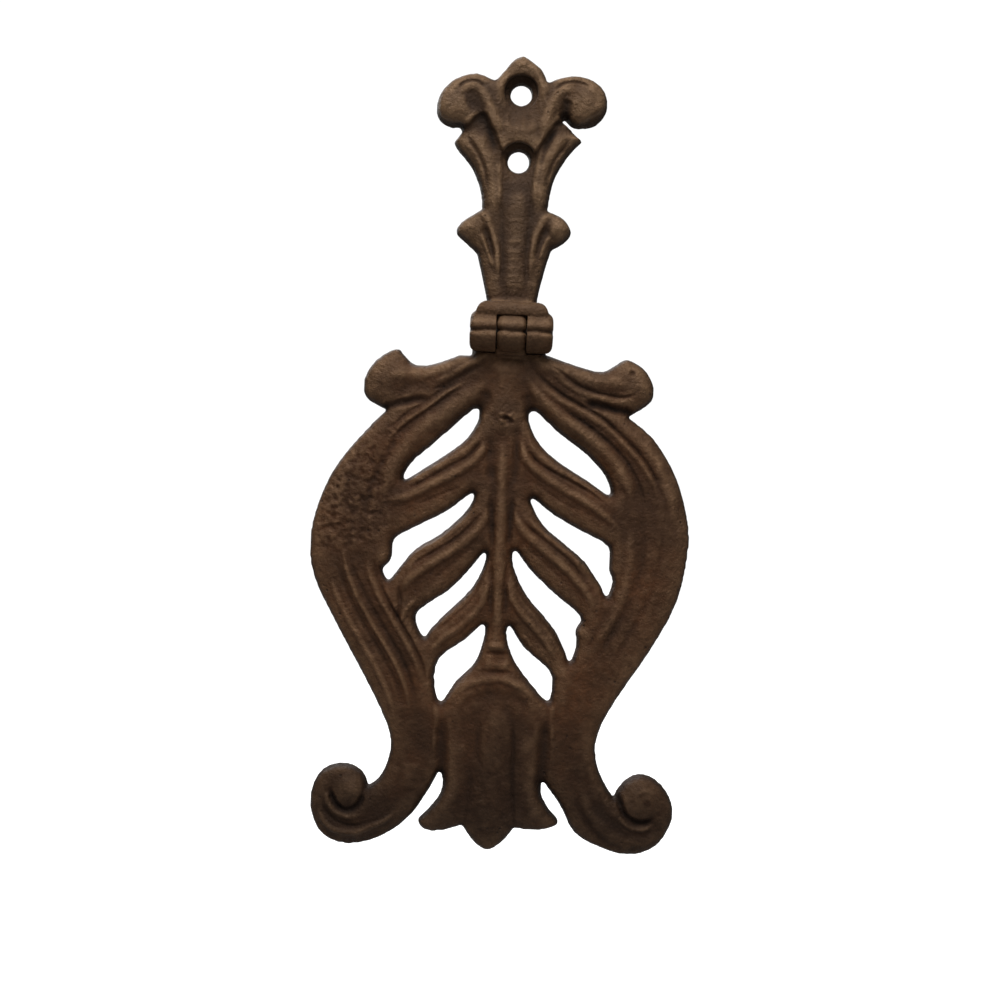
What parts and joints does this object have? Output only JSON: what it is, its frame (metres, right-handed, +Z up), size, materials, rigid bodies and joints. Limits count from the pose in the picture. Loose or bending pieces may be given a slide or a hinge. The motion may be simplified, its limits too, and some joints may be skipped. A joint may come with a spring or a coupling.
{
  "type": "door hinge",
  "caption": "Ornamental cast iron surface hinge: a palmette leaf with countersunk holes, a reeded barrel and an openwork leaf with scroll feet and a tulip.",
  "frame": {"origin": "midway between the two screw holes of the frame leaf, on the back plane", "axes": "+Z up from the barrel towards the crest, -Y out of the ornamental face, +X to the right seen from the front; the pin's axis runs along X"},
  "size_m": [0.1137, 0.0124, 0.2378],
  "materials": {
    "frame_iron": "dark brown patina, rubbed on the raised edges",
    "door_iron": "dark brown patina with pitted sand-cast skin",
    "pin_steel": "darkened steel"
  },
  "bodies": {
    "frame_leaf": {"crest": "frame_iron", "volute_left": "frame_iron", "volute_right": "frame_iron", "fan": "frame_iron", "shoulder_leaf_left": "frame_iron", "shoulder_leaf_right": "frame_iron", "neck_upper": "frame_iron", "neck_lower": "frame_iron", "neck_volute_left": "frame_iron", "neck_volute_right": "frame_iron", "neck_ring": "frame_iron", "knuckle_left": "frame_iron", "knuckle_right": "frame_iron", "hinge_pin": "pin_steel"},
    "door_leaf": {"knuckle_centre": "door_iron", "yoke": "door_iron", "lobe_left": "door_iron", "lobe_right": "door_iron", "arm_upper_left": "door_iron", "arm_upper_right": "door_iron", "arm_middle_left": "door_iron", "arm_middle_right": "door_iron", "arm_lower_left": "door_iron", "arm_lower_right": "door_iron", "arm_foot_left": "door_iron", "arm_foot_right": "door_iron", "scroll_foot_left": "door_iron", "scroll_foot_right": "door_iron", "leaf_upper_left": "door_iron", "leaf_upper_right": "door_iron", "leaf_middle_left": "door_iron", "leaf_middle_right": "door_iron", "leaf_lower_left": "door_iron", "leaf_lower_right": "door_iron", "stem_upper": "door_iron", "stem_middle": "door_iron", "stem_lower": "door_iron", "bud": "door_iron", "tulip_centre": "door_iron", "tulip_petal_left": "door_iron", "tulip_petal_right": "door_iron"}
  },
  "joints": [
    {"name": "leaf_swing", "type": "hinge", "parent": "frame_leaf", "child": "door_leaf", "pos_m": [0, -0.0062, -0.0617], "axis": [-1, 0, 0], "range_deg": [0, 110]}
  ]
}
